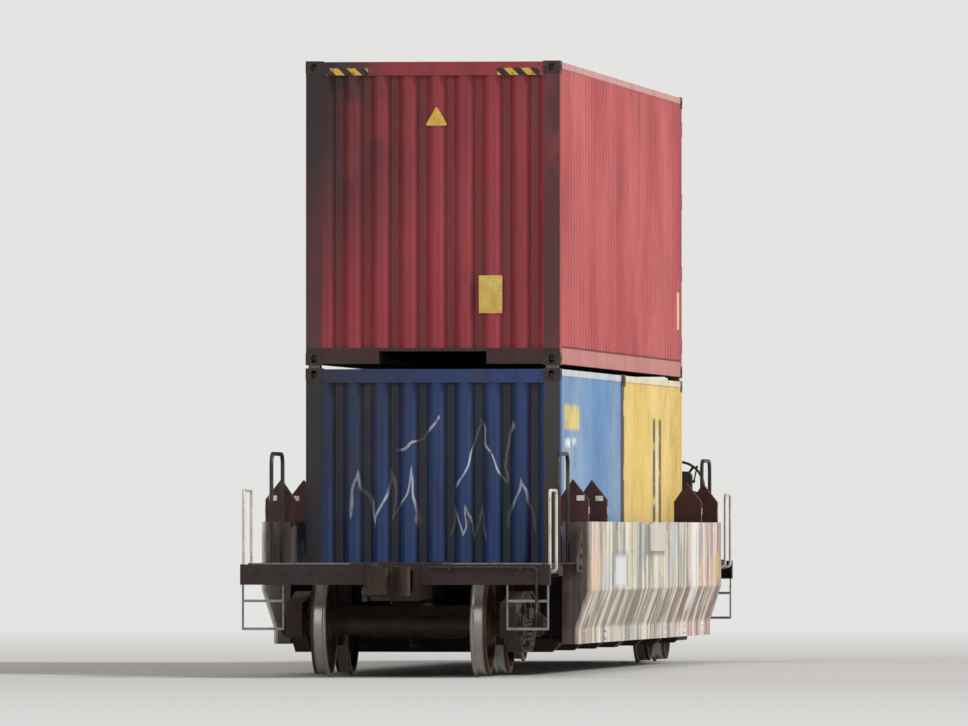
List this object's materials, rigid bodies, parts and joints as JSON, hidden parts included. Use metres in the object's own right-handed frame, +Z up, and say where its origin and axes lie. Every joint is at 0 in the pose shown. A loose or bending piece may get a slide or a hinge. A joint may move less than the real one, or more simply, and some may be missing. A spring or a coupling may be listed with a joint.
{
  "type": "double-stack well car with containers",
  "caption": "Rail well car with its own trucks and couplers, a long box container stacked on short ones.",
  "frame": {"origin": "on the floor under the wheel flanges, at the middle of the car's length and width", "axes": "+X towards the leading end, +Y to the near side, +Z up"},
  "size_m": [19.846, 3.14, 5.8428],
  "materials": {
    "well_paint": "faded oxide paint, chalked and streaked",
    "frame_paint": "dark oxide paint under grime",
    "cast_steel": "cast steel, brown rust and brake dust",
    "wheel_steel": "rolled steel, bright at the treads",
    "grating": "galvanised steel grating",
    "handrail_paint": "black painted round bar",
    "brake_paint": "dark painted housings",
    "red_paint": "sun-faded red marine paint",
    "blue_paint": "sun-faded blue marine paint with rust",
    "yellow_paint": "faded yellow marine paint with rust",
    "deck_timber": "oiled plywood floor on steel beams",
    "stack_steel": "galvanised cast stacking fittings"
  },
  "bodies": {
    "car_body": {"well_side_left": "well_paint", "well_side_right": "well_paint", "cross_bearers": "frame_paint", "bulkheads": "frame_paint", "container_guides": "frame_paint", "end_frame_front": "frame_paint", "end_frame_rear": "frame_paint", "handrails": "handrail_paint", "corner_steps": "grating", "walkways": "grating", "uncoupling_levers": "handrail_paint", "angle_cocks": "brake_paint", "hand_brake": "brake_paint", "air_reservoir": "brake_paint", "brake_cylinder": "brake_paint", "control_valve": "brake_paint", "stack_cones": "stack_steel", "red_front_end": "red_paint", "red_rear_frame": "red_paint", "red_sides": "red_paint", "red_roof": "red_paint", "red_floor": "deck_timber", "blue_front_end": "blue_paint", "blue_rear_frame": "blue_paint", "blue_sides": "blue_paint", "blue_roof": "blue_paint", "blue_floor": "deck_timber", "blue_doors": "blue_paint", "yellow_front_end": "yellow_paint", "yellow_rear_frame": "yellow_paint", "yellow_sides": "yellow_paint", "yellow_roof": "yellow_paint", "yellow_floor": "deck_timber", "yellow_doors": "yellow_paint"},
    "red_door_left": {"red_door_left": "red_paint"},
    "red_door_right": {"red_door_right": "red_paint"},
    "truck_front": {"truck_front_side_frames": "cast_steel", "truck_front_bolster": "cast_steel", "truck_front_springs": "cast_steel", "truck_front_brake_beams": "cast_steel"},
    "wheelset_front_outer": {"axle_front_outer": "wheel_steel", "wheels_front_outer": "wheel_steel"},
    "wheelset_front_inner": {"axle_front_inner": "wheel_steel", "wheels_front_inner": "wheel_steel"},
    "coupler_front": {"coupler_front": "cast_steel"},
    "knuckle_front": {"knuckle_front": "cast_steel"},
    "truck_rear": {"truck_rear_side_frames": "cast_steel", "truck_rear_bolster": "cast_steel", "truck_rear_springs": "cast_steel", "truck_rear_brake_beams": "cast_steel"},
    "wheelset_rear_outer": {"axle_rear_outer": "wheel_steel", "wheels_rear_outer": "wheel_steel"},
    "wheelset_rear_inner": {"axle_rear_inner": "wheel_steel", "wheels_rear_inner": "wheel_steel"},
    "coupler_rear": {"coupler_rear": "cast_steel"},
    "knuckle_rear": {"knuckle_rear": "cast_steel"}
  },
  "joints": [
    {"name": "truck_front_swivel", "type": "hinge", "parent": "car_body", "child": "truck_front", "pos_m": [7.65, 0, 0.696], "axis": [0, 0, 1], "range_deg": [-7, 7]},
    {"name": "wheelset_front_outer_roll", "type": "hinge", "parent": "truck_front", "child": "wheelset_front_outer", "pos_m": [8.539, 0, 0.483], "axis": [0, 1, 0], "continuous": true},
    {"name": "wheelset_front_inner_roll", "type": "hinge", "parent": "truck_front", "child": "wheelset_front_inner", "pos_m": [6.761, 0, 0.483], "axis": [0, 1, 0], "continuous": true},
    {"name": "coupler_front_swing", "type": "hinge", "parent": "car_body", "child": "coupler_front", "pos_m": [8.82, 0, 0.902], "axis": [0, 0, 1], "range_deg": [-8, 8]},
    {"name": "knuckle_front_open", "type": "hinge", "parent": "coupler_front", "child": "knuckle_front", "pos_m": [9.73, -0.135, 0.902], "axis": [0, 0, -1], "range_deg": [0, 45]},
    {"name": "truck_rear_swivel", "type": "hinge", "parent": "car_body", "child": "truck_rear", "pos_m": [-7.65, 0, 0.696], "axis": [0, 0, 1], "range_deg": [-7, 7]},
    {"name": "wheelset_rear_outer_roll", "type": "hinge", "parent": "truck_rear", "child": "wheelset_rear_outer", "pos_m": [-8.539, 0, 0.483], "axis": [0, 1, 0], "continuous": true},
    {"name": "wheelset_rear_inner_roll", "type": "hinge", "parent": "truck_rear", "child": "wheelset_rear_inner", "pos_m": [-6.761, 0, 0.483], "axis": [0, 1, 0], "continuous": true},
    {"name": "coupler_rear_swing", "type": "hinge", "parent": "car_body", "child": "coupler_rear", "pos_m": [-8.82, 0, 0.902], "axis": [0, 0, 1], "range_deg": [-8, 8]},
    {"name": "knuckle_rear_open", "type": "hinge", "parent": "coupler_rear", "child": "knuckle_rear", "pos_m": [-9.73, 0.135, 0.902], "axis": [0, 0, -1], "range_deg": [0, 45]},
    {"name": "red_door_left_swing", "type": "hinge", "parent": "car_body", "child": "red_door_left", "pos_m": [-6.08, 1.206, 4.4], "axis": [0, 0, -1], "range_deg": [0, 265]},
    {"name": "red_door_right_swing", "type": "hinge", "parent": "car_body", "child": "red_door_right", "pos_m": [-6.08, -1.206, 4.4], "axis": [0, 0, 1], "range_deg": [0, 265]}
  ]
}
